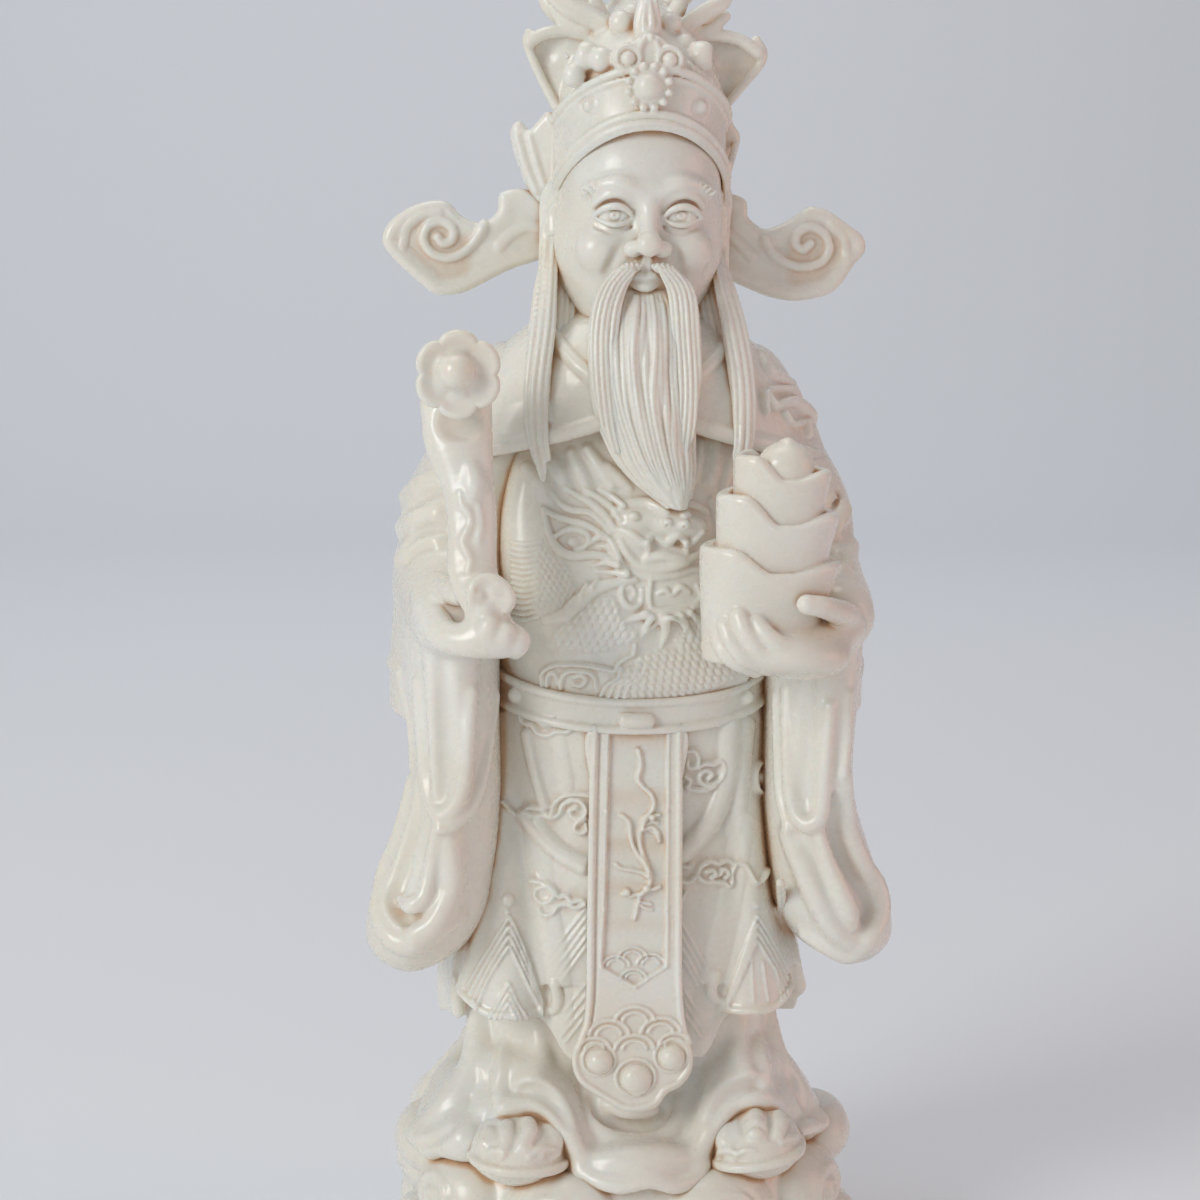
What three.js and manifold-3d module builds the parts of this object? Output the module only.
// A standing wealth-god figure, moulded in one piece with its base: official's hat with side wings,
// long beard, shoulder cape, belted robe with an apron, wide hanging sleeves, a ruyi sceptre in one
// hand and a stack of gold ingots in the other. Millimetres, +Z up, the figure faces -Y.
import * as THREE from "three";
import { mergeVertices } from "three/addons/utils/BufferGeometryUtils.js";
import Module from "manifold-3d";

const wasm = await Module();
wasm.setup();

// Driving sizes, in millimetres
const FIGURE_HEIGHT = 179; // from the ground that the shoes stand on to the finial's tip
const BASE_HEIGHT = 21;
const BASE_WIDTH = 74;
const BASE_DEPTH = 66;
const BASE_FORWARD = 2; // how far the base's middle lies in front of the figure's

// The figure is laid out in shares of its own height: a model 179 parts tall that starts at level 21.
const PARTS_TALL = 179;
const GROUND = 21;
const part = FIGURE_HEIGHT / PARTS_TALL;

const RIGHT = 1;
const LEFT = -1;
const SIDES = [LEFT, RIGHT];
const TURN = 2 * Math.PI;

// A place on the figure, given in parts.
const at = (x, y, z) => new THREE.Vector3(x * part, y * part, BASE_HEIGHT + (z - GROUND) * part);
const mix = THREE.MathUtils.lerp;
const smooth = (a, b, x) => THREE.MathUtils.smoothstep(x, a, b);
const power = (x, exponent) => Math.sign(x) * Math.abs(x) ** exponent;
const bump = (x, middle, width) => Math.exp(-(((x - middle) / width) ** 2));

// The shapes' own helpers

// A closed geometry as a solid, with its faces turned outwards.
function solid(geometry) {
  const bare = geometry.clone();
  bare.deleteAttribute("normal");
  bare.deleteAttribute("uv");
  const merged = mergeVertices(bare, 1e-4);
  const triVerts = new Uint32Array(merged.index.array);
  const make = () =>
    new wasm.Manifold(
      new wasm.Mesh({ numProp: 3, vertProperties: merged.attributes.position.array, triVerts }),
    );
  const made = make();
  if (made.volume() > 0) return made;
  for (let i = 0; i < triVerts.length; i += 3) {
    [triVerts[i + 1], triVerts[i + 2]] = [triVerts[i + 2], triVerts[i + 1]];
  }
  return make();
}

const join = (pieces) => pieces.reduce((all, piece) => all.add(piece));

// A closed skin: place(u, t) gives its points, with u from 0 to 1 once round it and t from end to end.
// Each end is closed at the middle of its last ring; a pointed skin has only that middle there.
function skin(around, along, place, pointed = false) {
  const ring = (j) => Array.from({ length: around }, (_, i) => place(i / around, j / along));
  const middle = (points) =>
    points.reduce((sum, p) => sum.add(p), new THREE.Vector3()).divideScalar(around);
  const points = [];
  const inset = pointed ? 1 : 0;
  for (let j = inset; j <= along - inset; j++) points.push(...ring(j));
  const last = points.length - around;
  const start = points.length;
  points.push(middle(ring(0)), middle(ring(along)));
  const faces = [];
  for (let i = 0; i < around; i++) {
    const next = (i + 1) % around;
    for (let a = 0; a < last; a += around) {
      faces.push(a + i, a + next, a + next + around, a + i, a + next + around, a + i + around);
    }
    faces.push(start, next, i, start + 1, last + i, last + next);
  }
  const geometry = new THREE.BufferGeometry().setFromPoints(points);
  geometry.setIndex(faces);
  return solid(geometry);
}

// Reads a table of rows at a share t of its length, smoothly.
function row(rows, t) {
  const place = t * (rows.length - 1);
  const k = Math.min(Math.floor(place), rows.length - 2);
  const s = place - k;
  return rows[k].map((_, i) => {
    const p = (n) => rows[THREE.MathUtils.clamp(n, 0, rows.length - 1)][i];
    const slope = (n) => (p(n + 1) - p(n - 1)) / 2;
    const s2 = s * s;
    const s3 = s2 * s;
    return (
      p(k) * (2 * s3 - 3 * s2 + 1) +
      slope(k) * (s3 - 2 * s2 + s) +
      p(k + 1) * (3 * s2 - 2 * s3) +
      slope(k + 1) * (s3 - s2)
    );
  });
}

// A form stacked up from oval sections. Rows are [level, middle x, middle y, half width, half depth].
// Angle 0 faces the front; fold(angle, t) gives each point's share of the section's size.
function stack(rows, { around = 20, along = 8, fold = () => 1, square = 1, level = () => 0 } = {}) {
  return skin(around, along, (u, t) => {
    const [z, x, y, w, d] = row(rows, t);
    const angle = u * TURN;
    const s = Math.sin(angle);
    const c = Math.cos(angle);
    const f = fold(angle, t);
    return at(x + w * f * power(s, square), y - d * f * power(c, square), z + level(angle, t));
  });
}

// A round-ended limb along a curve through points [x, y, z, radius], flattened along its depth.
function limb(points, { around = 6, along = 5, flat = 1 } = {}) {
  const curve = new THREE.CatmullRomCurve3(points.map(([x, y, z]) => new THREE.Vector3(x, y, z)));
  const forward = new THREE.Vector3(0, -1, 0);
  const place = (u, v) => {
    const t = (1 - Math.cos(Math.PI * v)) / 2;
    const tangent = curve.getTangent(t);
    const across = new THREE.Vector3().crossVectors(tangent, forward).normalize();
    const out = new THREE.Vector3().crossVectors(across, tangent).normalize();
    const radius = row(points, t)[3] * (v > 0 && v < 1 ? 1 : 0);
    const p = curve
      .getPoint(t)
      .addScaledVector(across, radius * Math.sin(u * TURN))
      .addScaledVector(out, radius * flat * Math.cos(u * TURN));
    return at(p.x, p.y, p.z);
  };
  return skin(around, along, place, true);
}

// An ellipsoid.
function ball(x, y, z, rx, ry = rx, rz = rx, { wide = 8, high = 5 } = {}) {
  const geometry = new THREE.SphereGeometry(1, wide, high);
  geometry.rotateX(Math.PI / 2);
  geometry.scale(rx * part, ry * part, rz * part);
  const place = at(x, y, z);
  geometry.translate(place.x, place.y, place.z);
  return solid(geometry);
}

// A plate of a rounded outline through [x, z] points, upright at depth y, then turned about z.
function plate(outline, y, thick, { turn = 0, fine = 2, round = 0.5 } = {}) {
  const curve = new THREE.CatmullRomCurve3(outline.map(([x, z]) => new THREE.Vector3(x, 0, z)), true);
  const middle = outline
    .reduce((sum, [x, z]) => sum.add(new THREE.Vector3(x, 0, z)), new THREE.Vector3())
    .divideScalar(outline.length);
  const axis = new THREE.Vector3(0, 0, 1);
  return skin(outline.length * fine, 3, (u, t) => {
    const ring = Math.round(t * 3);
    const out = curve.getPoint(u).sub(middle);
    if (ring % 3 === 0) out.setLength(Math.max(out.length() - round, 0.1));
    out.y = [-0.5, 0.5 * round - 0.5, 0.5 - 0.5 * round, 0.5][ring] * thick;
    out.applyAxisAngle(axis, turn).add(middle);
    return at(out.x, y + out.y, out.z);
  });
}

// The base: a flat-footed mound of rounded cloud heads in two staggered rows

const CLOUD_HEADS = 9;

function base() {
  const levels = [0, 0.14, 0.36, 0.6, 0.84, 1];
  const lower = [0.1, 0.9, 0.9, 0.1, 0, 0];
  const upper = [0, 0, 0.2, 0.95, 0.8, 0];
  const spread = [0.86, 0.88, 0.86, 0.86, 0.85, 0.8];
  const last = levels.length - 1;
  return skin(CLOUD_HEADS * 4, last, (u, t) => {
    const j = Math.round(t * last);
    const head = (shift) => Math.sqrt(Math.abs(Math.cos(((CLOUD_HEADS * u + shift) * TURN) / 2)));
    const share = spread[j] + 0.12 * (lower[j] * head(0) + upper[j] * head(0.5));
    return new THREE.Vector3(
      (BASE_WIDTH / 2) * share * power(Math.sin(u * TURN), 0.86),
      (-BASE_DEPTH / 2) * share * power(Math.cos(u * TURN), 0.86) - BASE_FORWARD,
      BASE_HEIGHT * levels[j],
    );
  });
}

// Cloud heads that climb the robe's sides from the base.
const clouds = (side) => [
  ball(side * 28.8, -5, 21.4, 6.4, 9, 6, { wide: 7, high: 4 }),
  ball(side * 26.4, 10, 21.4, 6, 8, 5.4, { wide: 6, high: 4 }),
];

// The robe

const front = (angle) => Math.max(0, Math.cos(angle));

function underRobe() {
  const rows = [
    [48, 0, 0, 20, 15],
    [38, 0, 0, 21.5, 16],
    [28, 0, -0.5, 23.5, 18],
    [19, 0, -1, 26, 20.5],
  ];
  const overShoe = (angle) => bump(Math.abs(Math.sin(angle)), 0.68, 0.16) * front(angle);
  return stack(rows, {
    around: 26,
    along: 5,
    square: 0.9,
    fold: (angle, t) => {
      const middle = (1 - smooth(0.24, 0.56, Math.abs(Math.sin(angle)))) * smooth(-0.1, 0.1, Math.cos(angle));
      const tongue = 0.4 * middle * smooth(0.4, 1, t);
      const legs = 0.12 * overShoe(angle) * smooth(0.1, 0.5, t);
      const flutes = 0.035 * t * Math.cos(angle * 7) * (1 - front(angle));
      return 1 + tongue + legs + flutes;
    },
    level: (angle, t) => smooth(0.4, 1, t) * 9 * overShoe(angle),
  });
}

function shoe(side) {
  const sole = stack(
    [
      [19.6, side * 17.6, -21.5, 7.4, 9],
      [21.2, side * 17.6, -21.5, 8.2, 9.8],
      [22.6, side * 17.6, -21.5, 7.6, 9.2],
    ],
    { around: 12, along: 2 },
  );
  return [sole, ball(side * 17.6, -22.4, 24.4, 7, 8, 4.8)];
}

// The body from the neck down to the skirt's hem: chest, the belt's band between two rims, and the
// skirt in flutes. A ring is [front level, side level, back level, half width, half depth, middle y].
const BELT = { front: 87.9, side: 90.8, half: 2.6, width: 21, depth: 17.8, middle: -1.6 };
const HEM = { front: 43.4, side: 41.5, back: 35.5 };
const FLUTES = 7;

function body() {
  const beltRing = (up, out) => [
    BELT.front + up,
    BELT.side + up,
    BELT.front + up,
    BELT.width + out,
    BELT.depth + out,
    BELT.middle,
  ];
  const rings = [
    [150, 150, 150, 7.6, 7.6, -1],
    [138, 138, 138, 18, 12.6, -1.4],
    [126, 126, 126, 21.6, 16, -2.2],
    [113, 113, 113, 22.6, 18.2, -2.6],
    [101, 101, 101, 22.4, 18.6, -2.4],
    [93, 94, 93, 21, 17.4, -2],
    beltRing(BELT.half + 0.5, 0.3),
    beltRing(BELT.half, 1.1),
    beltRing(BELT.half - 1.1, 0),
    beltRing(1.1 - BELT.half, 0),
    beltRing(-BELT.half, 1.1),
    beltRing(-BELT.half - 0.5, -0.8),
    [78, 78, 78, 20.9, 16.4, -1.2],
    [62, 62, 62, 23.2, 17.8, -1.2],
    [50, 50, 48, 26, 19.6, -1.2],
    [HEM.front, HEM.side, HEM.back, 28, 20.8, -1.2],
    [HEM.front + 1, HEM.side + 1, HEM.back + 1, 25, 18.6, -1.2],
  ];
  const last = rings.length - 1;
  return skin(4 * FLUTES, last, (u, t) => {
    const j = Math.round(t * last);
    const [ahead, beside, behind, w, d, y] = rings[j];
    const angle = u * TURN;
    const s = Math.sin(angle);
    const c = Math.cos(angle);
    const skirt = THREE.MathUtils.clamp((j - 11) / (last - 12), 0, 1);
    const flute = skirt * Math.cos(angle * FLUTES);
    const f = 1 + 0.05 * flute;
    const level = mix(beside, c > 0 ? ahead : behind, Math.abs(c)) - 1.5 * flute * skirt ** 4;
    return at(w * f * power(s, 0.92), y - d * f * power(c, 0.92), level);
  });
}

// Studs on the belt's band: an oval one in front and a small one near each end.
const STUD_ANGLE = 0.95;

const studs = () => [
  ball(0, BELT.middle - BELT.depth - 0.5, BELT.front, 2, 1, 1.3, { wide: 6, high: 4 }),
  ...SIDES.map((side) => {
    const x = side * BELT.width * power(Math.sin(STUD_ANGLE), 0.92);
    const y = BELT.middle - BELT.depth * power(Math.cos(STUD_ANGLE), 0.92);
    const z = mix(BELT.side, BELT.front, Math.cos(STUD_ANGLE));
    return ball(x, y, z, 1.2, 1.2, 1.2, { wide: 4, high: 3 });
  }),
];

// The layer below it, whose two corners hang beside the apron.
function lowerSkirt() {
  const rows = [
    [60, 0, -1, 19, 16],
    [50, 0, -1, 20, 17.4],
    [44, 0, -1, 20.5, 18.2],
  ];
  return stack(rows, {
    around: 20,
    along: 2,
    square: 0.9,
    fold: (angle, t) => 1 + 0.1 * bump(Math.abs(Math.sin(angle)), 0.5, 0.2) * front(angle) * t,
    level: (angle, t) => -t * t * 7.5 * bump(Math.abs(Math.sin(angle)), 0.42, 0.24) * front(angle),
  });
}

// The apron: a long panel that ends in three lobes, each with a pearl.
function apron() {
  const rows = [
    [87, 6.3, -18.4],
    [62, 6.9, -21.2],
    [44, 7.3, -24.6],
    [39.5, 9.4, -25.8],
    [36.5, 9.6, -26.3],
    [33.5, 6.6, -26.7],
    [30.8, 3, -27.1],
  ];
  const thick = 1.1;
  const panel = skin(10, 7, (u, t) => {
    const [z, w, y] = row(rows, t);
    const angle = u * TURN;
    const s = Math.sin(angle);
    const c = Math.cos(angle);
    const wide = power(s, 0.7);
    return at(w * wide, y + 0.8 - thick * power(c, 0.4) + 0.6 * wide * wide, z);
  });
  return [
    panel,
    ball(0, -27.6, 34.8, 2.7, 1.6, 2.3, { wide: 6, high: 4 }),
    ball(-5.8, -26.8, 38.2, 1.9, 1.5, 1.9, { wide: 6, high: 4 }),
    ball(5.8, -26.8, 38.2, 1.9, 1.5, 1.9, { wide: 6, high: 4 }),
  ];
}

// The shoulder cape, lower at the sides and back than over the chest, with a raised hem.
const CAPE = { neck: 150, front: 131.5, side: 126, back: 122, width: 31, depth: 18.6 };

const capeHem = (angle) => {
  const low = Math.cos(angle) > 0 ? CAPE.front : CAPE.back;
  return mix(CAPE.side, low, Math.cos(angle) ** 2);
};

function cape() {
  const profile = [
    [0, 0],
    [0.4, 0.05],
    [0.78, 0.34],
    [0.97, 0.86],
    [1.03, 0.92],
    [1.03, 1.04],
    [0.92, 1.06],
  ];
  return skin(18, profile.length - 1, (u, t) => {
    const angle = u * TURN;
    const [share, drop] = profile[Math.round(t * (profile.length - 1))];
    const w = mix(8.4, CAPE.width, share);
    const d = mix(8.4, CAPE.depth, share);
    const pleat = 1 + 0.02 * Math.cos(angle * 9) * (1 - front(angle)) * drop;
    return at(
      w * pleat * Math.sin(angle),
      -1 - d * pleat * Math.cos(angle),
      CAPE.neck - (CAPE.neck - capeHem(angle)) * drop,
    );
  });
}

// The sleeves

// The upper sleeve, from the shoulder to a hem at the elbow, crossed by slack folds.
function upperSleeve(side) {
  return stack(
    [
      [141, side * 19, 1, 8, 10],
      [132, side * 22.4, 0.6, 8.6, 12],
      [119, side * 25.4, 0, 8.8, 13.4],
      [106, side * 27, -1, 8.8, 14],
      [96, side * 28, -1.5, 8.6, 14],
      [88, side * 28.4, -1.5, 8.6, 13.6],
    ],
    {
      around: 11,
      along: 7,
      fold: (angle, t) => 1 + 0.04 * Math.cos(t * 8 * Math.PI + angle) * smooth(0.25, 0.5, t),
    },
  );
}

function forearm(side) {
  return limb(
    [
      [side * 28, 0, 108, 8],
      [side * 28.6, -10, 106.5, 7.8],
      [side * 29, -19, 105, 7],
      [side * 28.6, -26, 104, 6],
    ],
    { around: 8, along: 4 },
  );
}

// The hanging end of a wide sleeve: a flat bag of cloth, open along its front edge, whose inner side
// lies against the skirt.
function sleeveBag(side) {
  const bag = stack(
    [
      [104, side * 28.4, -9, 8.4, 14],
      [89, side * 27.6, -9, 8.2, 14],
      [76, side * 27, -9.4, 7.6, 13.4],
      [66, side * 28.8, -9.8, 8.2, 12.4],
      [58, side * 31.2, -10, 9, 12],
      [53, side * 32.8, -10.5, 7.4, 10.4],
      [49.6, side * 34.6, -11, 3.6, 6.4],
    ],
    { around: 12, along: 7 },
  );
  const hollow = limb(
    [
      [side * 31, -24, 92, 2],
      [side * 30.6, -23.4, 78, 3.4],
      [side * 32, -22.5, 67, 4.6],
      [side * 33.6, -21, 55, 4],
    ],
    { around: 6, along: 5, flat: 1.9 },
  );
  const curl = limb(
    [
      [side * 27.6, -19, 67, 1.4],
      [side * 30.4, -19.4, 59.6, 2.2],
      [side * 34.4, -19, 60, 1.8],
    ],
    { around: 5, along: 4 },
  );
  return bag.subtract(hollow).add(curl);
}

// The tongue of cloth that falls from the wrist and turns back up on itself.
function cuffTongue(side) {
  const edge = limb(
    [
      [side * 32.2, -22, 103, 2.2],
      [side * 31.4, -23.4, 90, 1.7],
      [side * 31, -24, 80, 1.5],
      [side * 28.6, -24.8, 73.6, 1.8],
      [side * 26, -24.6, 80, 1.5],
      [side * 25.2, -24.4, 90, 1.7],
      [side * 24.4, -22.5, 103, 2.2],
    ],
    { around: 5, along: 9 },
  );
  const web = limb(
    [
      [side * 28.6, -21, 104, 3.4],
      [side * 28.4, -22.4, 90, 3],
      [side * 28.5, -23.2, 77, 2.4],
    ],
    { around: 6, along: 3, flat: 0.55 },
  );
  return [edge, web];
}

// The hands and what they hold

// Four fingers side by side as one ridged form along a curve through points, spread along a direction.
function fingers(points, spread, thick) {
  const curve = new THREE.CatmullRomCurve3(points.map((p) => new THREE.Vector3(...p)));
  const half = new THREE.Vector3(...spread);
  const ridges = [0.3, 1, 0.55, 1, 0.6, 1, 0.55, 1];
  const place = (u, v) => {
    const t = (1 - Math.cos(Math.PI * v)) / 2;
    const k = Math.round(u * 16);
    const share = k < 8 ? k / 4 - 1 : 3 - k / 4;
    const out = new THREE.Vector3().crossVectors(half, curve.getTangent(t)).normalize();
    const taper = v > 0 && v < 1 ? 1 : 0.2;
    const up = (k < 8 ? 1 : -1) * thick * ridges[k % 8] * taper;
    const p = curve.getPoint(t).addScaledVector(half, share * (0.7 + 0.3 * taper));
    p.addScaledVector(out, up);
    return at(p.x, p.y, p.z);
  };
  return skin(16, 4, place, false);
}

// The hand under the sceptre: palm up, with its fingertips curling round the sceptre's foot.
function sceptreHand() {
  const palm = limb(
    [
      [-32.4, -24, 107, 3],
      [-29.6, -31, 103.6, 3],
      [-25, -34, 103, 3.2],
      [-19.6, -34.6, 103.2, 2.6],
    ],
    { around: 7, along: 5 },
  );
  const tip = (x, y, z, r) => ball(x, y, z, r, r * 1.3, r, { wide: 6, high: 4 });
  return [palm, tip(-23.3, -35.4, 105.4, 1.8), tip(-20.6, -35, 104.6, 1.7), tip(-18.7, -34, 103, 1.7)];
}

function sceptre() {
  const stem = limb(
    [
      [-23.4, -33.6, 107, 2.4],
      [-25.5, -31, 112.6, 3.1],
      [-25.8, -28, 122, 3.1],
      [-26.6, -25.4, 132, 5.2],
      [-27.8, -23.6, 142, 5],
    ],
    { around: 7, along: 6, flat: 0.62 },
  );
  const petals = 6;
  const rings = [
    [0, 0.8],
    [1, 1.04],
    [2.2, 0.9],
    [1.5, 0.5],
  ];
  const flower = skin(4 * petals, rings.length - 1, (u, t) => {
    const angle = u * TURN;
    const [depth, share] = rings[Math.round(t * (rings.length - 1))];
    const r = share * (5.2 + 1.5 * Math.sqrt(Math.abs(Math.cos((angle * petals) / 2))));
    const across = r * Math.sin(angle);
    const up = r * Math.cos(angle);
    return at(-27.8 + across, -25 - depth + 0.12 * up, 140 + up);
  });
  return [
    stem,
    flower,
    ball(-27.8, -27.2, 140.2, 2.7, 2.6, 2.7, { wide: 6, high: 4 }),
    ball(-23.3, -34.4, 109.2, 3.4, 2.4, 3, { wide: 7, high: 4 }),
  ];
}

// Three boat-shaped ingots stacked by size: oval dishes whose two ends sweep up, with a dome on top.
function ingotStack() {
  const rings = [
    [101, 16.6, 6, 4.6, 0],
    [106, 17, 8.4, 6.4, 0.4],
    [112, 17.6, 10.3, 7.4, 2.4],
    [113.4, 18, 8, 5.6, 1],
    [114, 18.2, 7.2, 5, 0],
    [119, 18.6, 8.6, 6, 2.6],
    [120.4, 19, 7, 4.8, 1],
    [121, 19, 6.2, 4.2, 0],
    [125.6, 19.3, 7.2, 5, 1.8],
    [126.6, 19.4, 5, 3.6, 0.6],
  ];
  const boats = skin(14, rings.length - 1, (u, t) => {
    const [z, x, w, d, lift] = rings[Math.round(t * (rings.length - 1))];
    const s = Math.sin(u * TURN);
    return at(x + w * s, -29.6 - d * Math.cos(u * TURN), z + lift * s * s);
  });
  return [boats, ball(19.5, -29.8, 126.6, 4, 3.8, 4.3, { wide: 8, high: 6 })];
}

// The hand cupped under the ingots, with its thumb along their front.
function ingotHand() {
  const palm = limb(
    [
      [31.4, -22, 106, 3.6],
      [28.4, -30, 103, 3.8],
      [23, -34, 100.4, 3.6],
      [15.4, -35, 100.2, 2.8],
    ],
    { around: 7, along: 5 },
  );
  const curled = fingers(
    [
      [19, -35.6, 99.4],
      [14.4, -36.8, 100.4],
      [11.6, -36.6, 104],
      [11.4, -35.6, 106.4],
    ],
    [2.4, -1.2, 1],
    1.2,
  );
  const thumb = limb(
    [
      [29.6, -28, 106, 2],
      [27.4, -34, 107.2, 1.9],
      [20.4, -37.4, 108.1, 1.5],
    ],
    { around: 5, along: 4 },
  );
  return [palm, curled, thumb];
}

// The head

// Laid out by the usual rule: eyes half way between chin and crown, nose base half way between brows
// and chin, mouth a third of the way from nose to chin.
const HEAD = { chin: 147, crown: 179.4, middle: -3, width: 12.3, depth: 13.4 };
const EYES = mix(HEAD.chin, HEAD.crown, 0.5);
const BROWS = EYES + 4.2;
const NOSE_BASE = mix(HEAD.chin, BROWS, 0.5);
const MOUTH = mix(NOSE_BASE, HEAD.chin, 1 / 3);
const FACE = HEAD.middle - HEAD.depth;

function head() {
  const skull = stack(
    [
      [HEAD.chin - 0.6, 0, -7.5, 4, 5.2],
      [HEAD.chin + 2.5, 0, -6, 8, 9],
      [HEAD.chin + 8, 0, -4.4, 11, 11.6],
      [EYES - 2, 0, HEAD.middle, HEAD.width, 13],
      [EYES + 6, 0, HEAD.middle, HEAD.width, HEAD.depth],
      [HEAD.crown - 4, 0, HEAD.middle + 1, 11, 11.4],
    ],
    { around: 14, along: 6, square: 0.93 },
  );
  const nose = limb(
    [
      [0, FACE + 0.9, BROWS - 1.4, 1.1],
      [0, FACE - 0.2, EYES - 1, 1.2],
      [0, FACE - 1.6, NOSE_BASE + 1.5, 2],
    ],
    { around: 5, along: 4 },
  );
  const lips = limb(
    [
      [-2.6, FACE + 0.6, MOUTH, 0.7],
      [0, FACE - 0.5, MOUTH - 0.2, 0.95],
      [2.6, FACE + 0.6, MOUTH, 0.7],
    ],
    { around: 4, along: 3 },
  );
  const sides = SIDES.flatMap((side) => [
    ball(side * 5, FACE + 1.6, EYES, 2.5, 1.4, 1.25, { wide: 6, high: 4 }),
    limb(
      [
        [side * 1.9, FACE + 0.7, BROWS - 0.3, 0.7],
        [side * 5, FACE + 0.9, BROWS + 0.9, 0.85],
        [side * 9, FACE + 3.4, BROWS - 0.6, 0.6],
      ],
      { around: 4, along: 4 },
    ),
    limb(
      [
        [side * 12.2, -1.6, EYES + 3, 1.5],
        [side * 13.2, -1, EYES - 1, 1.6],
        [side * 12.4, -2, NOSE_BASE - 3.4, 1.5],
      ],
      { around: 5, along: 3 },
    ),
  ]);
  return [skull, nose, lips, ...sides];
}

// The beard hangs from the chin to a point on the chest, in long locks; the moustache frames it.
const BEARD_LOCKS = 9;

function beard() {
  const rows = [
    [152.4, 0, -12.5, 7.6, 4.4],
    [147, 0.1, -15.4, 9.2, 4.8],
    [141, 0.4, -17.8, 9.6, 4.2],
    [135, 0.8, -19.6, 8.4, 3.4],
    [129, 1.6, -20.8, 6.3, 2.8],
    [124, 2.8, -21.8, 3.3, 2.1],
    [120.6, 3.8, -22.8, 0.7, 0.8],
  ];
  const mass = stack(rows, {
    around: 2 * BEARD_LOCKS,
    along: 6,
    fold: (angle, t) => 1 + 0.05 * Math.cos(angle * BEARD_LOCKS) * smooth(0.05, 0.3, t),
  });
  const moustache = SIDES.map((side) =>
    limb(
      [
        [side * 1, FACE - 0.8, NOSE_BASE - 0.9, 0.9],
        [side * 4.4, FACE - 0.6, NOSE_BASE - 2.6, 1.4],
        [side * 7.2, FACE - 0.2, MOUTH - 4, 1.7],
        [side * 8, FACE - 2.6, 141, 1.5],
        [side * 6.8, FACE - 5, 133, 0.8],
      ],
      { around: 5, along: 5 },
    ),
  );
  return [mass, ...moustache];
}

// A lock of hair from behind each ear down over the cape.
const sideLock = (side) =>
  limb(
    [
      [side * 12.6, -3, 160, 1.8],
      [side * 13.4, -9, 152, 2.2],
      [side * 14.2, -14.4, 143, 2.1],
      [side * 14.6, -17.6, 134, 1.7],
      [side * 15.4, -18.6, 126.6, 0.7],
    ],
    { around: 5, along: 5, flat: 0.6 },
  );

// The hat

// The hat rises from the brow: two rims with a bare crescent between them, then the crown.
// A ring is [front level, side level, back level, half width, half depth, middle y].
function hatBody() {
  const rings = [
    [175.5, 164, 163, 12.4, 13.4, -1.6],
    [175.9, 165.5, 163.5, 14.6, 15.6, -1.6],
    [177.8, 168, 166, 14.6, 15.6, -1.6],
    [178.3, 169, 167, 13.8, 14.7, -1.6],
    [182.8, 176.6, 176, 13.8, 14.6, -1.6],
    [183.3, 177.2, 176.5, 14.6, 15.4, -1.6],
    [185.1, 179.2, 178.5, 14.4, 15.2, -1.6],
    [185.6, 180, 179.5, 13, 13.6, -1.6],
    [190, 186, 184, 11.2, 11.6, -0.4],
    [194, 192.6, 191, 8.6, 8.6, 1],
    [196, 196, 195.4, 4.6, 4.6, 1.6],
  ];
  const last = rings.length - 1;
  return skin(18, last, (u, t) => {
    const [ahead, beside, behind, w, d, y] = rings[Math.round(t * last)];
    const c = Math.cos(u * TURN);
    const level = mix(beside, c > 0 ? ahead : behind, Math.abs(c) ** 0.8);
    return at(w * Math.sin(u * TURN), y - d * c, level);
  });
}

// The beaded jewel over the brow, the cloud-shaped plate with its pearls, and the flame-bud finial.
function hatFront() {
  const beads = 7;
  const jewelRings = [
    [3.4, -15],
    [4.1, -17.3],
    [2.4, -17],
    [1.7, -18.8],
  ];
  const jewel = skin(2 * beads, jewelRings.length - 1, (u, t) => {
    const j = Math.round(t * (jewelRings.length - 1));
    const [r, y] = jewelRings[j];
    const reach = r * (1 + (j < 2 ? 0.1 : 0) * Math.cos(u * TURN * beads));
    return at(reach * Math.sin(u * TURN), y, 181.4 + reach * Math.cos(u * TURN));
  });
  const cloud = plate(
    [
      [-5.4, 184.6],
      [-5.6, 187.6],
      [-3.2, 188.8],
      [-1.6, 190.4],
      [1.6, 190.4],
      [3.2, 188.8],
      [5.6, 187.6],
      [5.4, 184.6],
      [0, 183.4],
    ],
    -14.4,
    3,
    { fine: 1 },
  );
  const finial = limb(
    [
      [0, -12.4, 186, 2],
      [0, -12.2, 191.5, 2.5],
      [0, -11.8, 195.6, 1.6],
      [0, -11.4, 200, 0.6],
    ],
    { around: 6, along: 5 },
  );
  const pearls = SIDES.map((side) => ball(side * 3.5, -16.2, 186.2, 1.3, 1.3, 1.3, { wide: 5, high: 4 }));
  return [jewel, cloud, finial, ...pearls];
}

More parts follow.
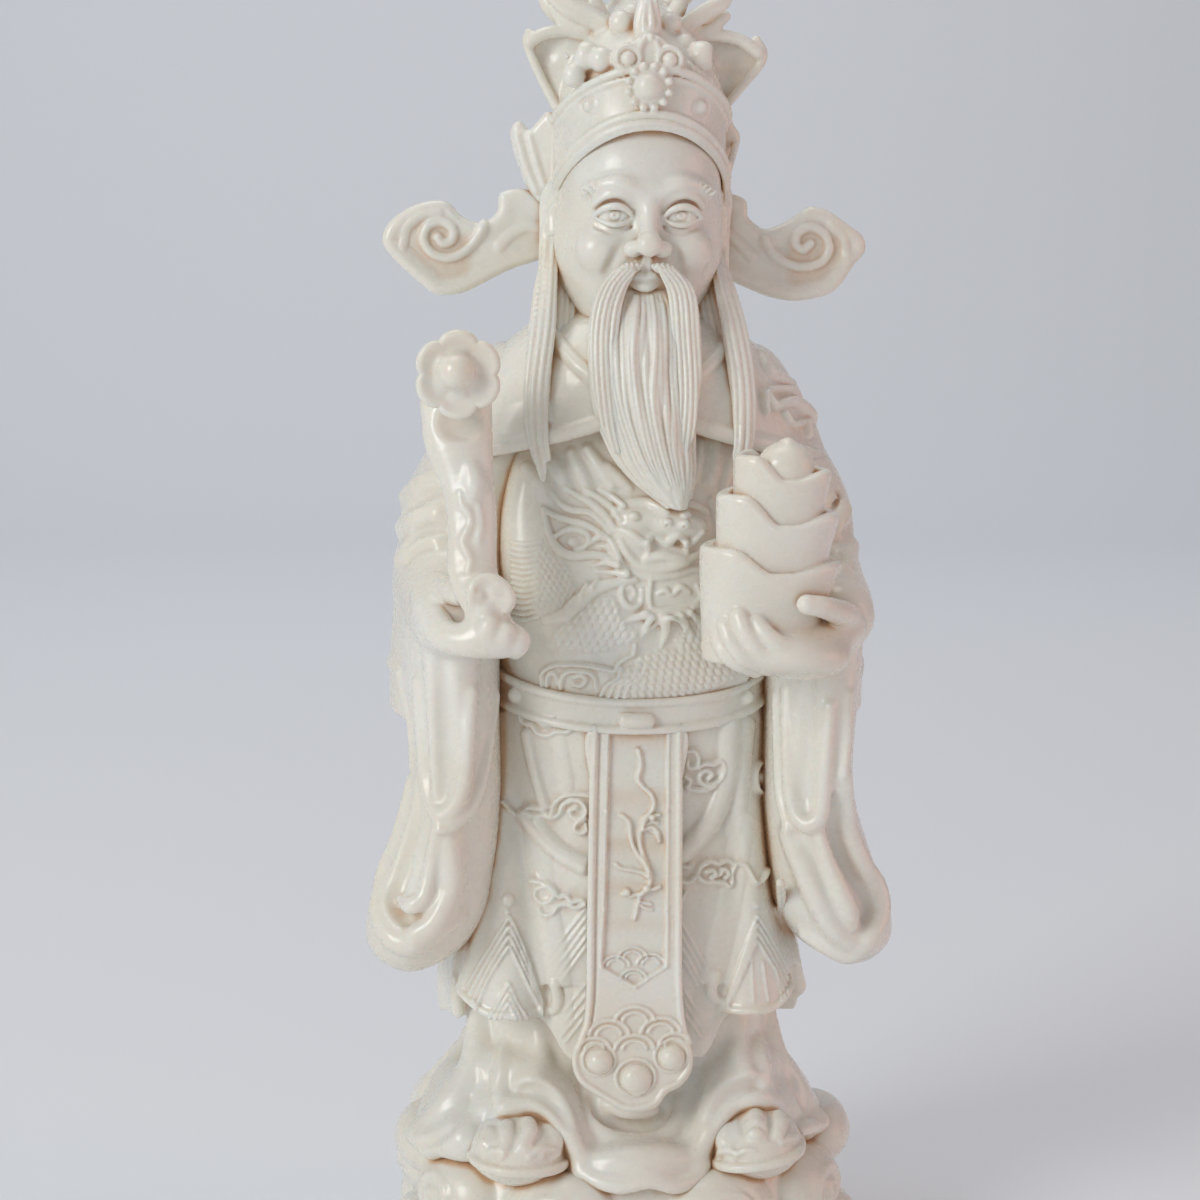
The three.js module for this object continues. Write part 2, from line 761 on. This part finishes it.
// What crowns the hat on each side: a leaf flap, an ear leaf, pompons and two curling sprays.
function hatOrnaments(side) {
  const flap = plate(
    [
      [side * 10.4, 177],
      [side * 14, 180.4],
      [side * 17.8, 185],
      [side * 19, 188],
      [side * 15.6, 190],
      [side * 11.6, 190.6],
      [side * 7, 189],
      [side * 7, 181],
    ],
    -1.4,
    3.6,
    { turn: side * 0.3, fine: 1 },
  );
  const earLeaf = plate(
    [
      [side * 11.4, 161],
      [side * 14.6, 164.6],
      [side * 16.4, 170],
      [side * 17.8, 175.8],
      [side * 15.4, 175],
      [side * 14, 176.6],
      [side * 10.6, 172],
    ],
    2.4,
    3.6,
    { turn: side * 0.25, fine: 1 },
  );
  const pompon = (x, y, z, r) => ball(side * x, y, z, r, r, r, { wide: 6, high: 4 });
  const pompons =
    side === LEFT
      ? [pompon(8.9, -11, 187.2, 2.5), pompon(5.8, -13, 187.6, 2), pompon(10.9, -10, 183.6, 2.1)]
      : [pompon(8.6, -11.6, 187, 3)];
  return [
    flap,
    earLeaf,
    ...pompons,
    limb(
      [
        [side * 4, -5, 188.6, 2],
        [side * 8, -5, 193.4, 2.2],
        [side * 14.8, -4, 198, 1.6],
      ],
      { around: 5, along: 4 },
    ),
    limb(
      [
        [side * 6, -1, 189, 2.6],
        [side * 11.6, -0.6, 193.4, 2.6],
        [side * 15.8, -0.6, 196, 1.6],
      ],
      { around: 5, along: 4 },
    ),
  ];
}

// A long wing of the hat, widening to a scrolled lobe.
function wing(side) {
  const rows = [
    [11, 158.4, 4.2],
    [14, 160, 5.6],
    [17, 160, 5.6],
    [20, 157.2, 3.6],
    [23, 156.6, 4.8],
    [26, 157.4, 6.6],
    [29, 158, 7.3],
    [32, 158.6, 6.6],
    [35, 159.6, 4.4],
    [36.6, 160, 2.4],
    [37.5, 160.2, 0.6],
  ];
  const blade = skin(8, 9, (u, t) => {
    const [x, z, high] = row(rows, t);
    const angle = u * TURN;
    const s = Math.sin(angle);
    const c = Math.cos(angle);
    return at(side * x, 2 - 1.9 * power(c, 0.5), z + high * s);
  });
  const scroll = [];
  const steps = 6;
  for (let i = 0; i <= steps; i++) {
    const a = (i / steps) * TURN * 1.15 + 0.6;
    const r = mix(4.6, 1.1, i / steps);
    scroll.push([side * (30 - r * Math.cos(a)), 0.4, 158 - r * Math.sin(a), 0.8]);
  }
  return [blade, limb(scroll, { around: 4, along: 8 })];
}

// The figure, as one solid

function figure() {
  const pieces = [
    base(),
    underRobe(),
    lowerSkirt(),
    body(),
    ...studs(),
    ...apron(),
    cape(),
    ...head(),
    ...beard(),
    hatBody(),
    ...hatFront(),
    ...sceptreHand(),
    ...sceptre(),
    ...ingotStack(),
    ...ingotHand(),
  ];
  for (const side of SIDES) {
    pieces.push(
      ...clouds(side),
      ...shoe(side),
      upperSleeve(side),
      forearm(side),
      sleeveBag(side),
      ...cuffTongue(side),
      sideLock(side),
      ...hatOrnaments(side),
      ...wing(side),
    );
  }
  return join(pieces);
}

function geometryOf(made) {
  const mesh = made.getMesh();
  const geometry = new THREE.BufferGeometry();
  geometry.setAttribute("position", new THREE.BufferAttribute(mesh.vertProperties, 3));
  geometry.setIndex(new THREE.BufferAttribute(mesh.triVerts, 1));
  geometry.computeVertexNormals();
  return geometry;
}

const ivoryResin = new THREE.MeshStandardMaterial({ color: 0xe9e3d3, roughness: 0.32, metalness: 0 });

const group = new THREE.Group();
const statue = new THREE.Mesh(geometryOf(figure()), ivoryResin);
statue.name = "figure";
group.add(statue);

export default group;
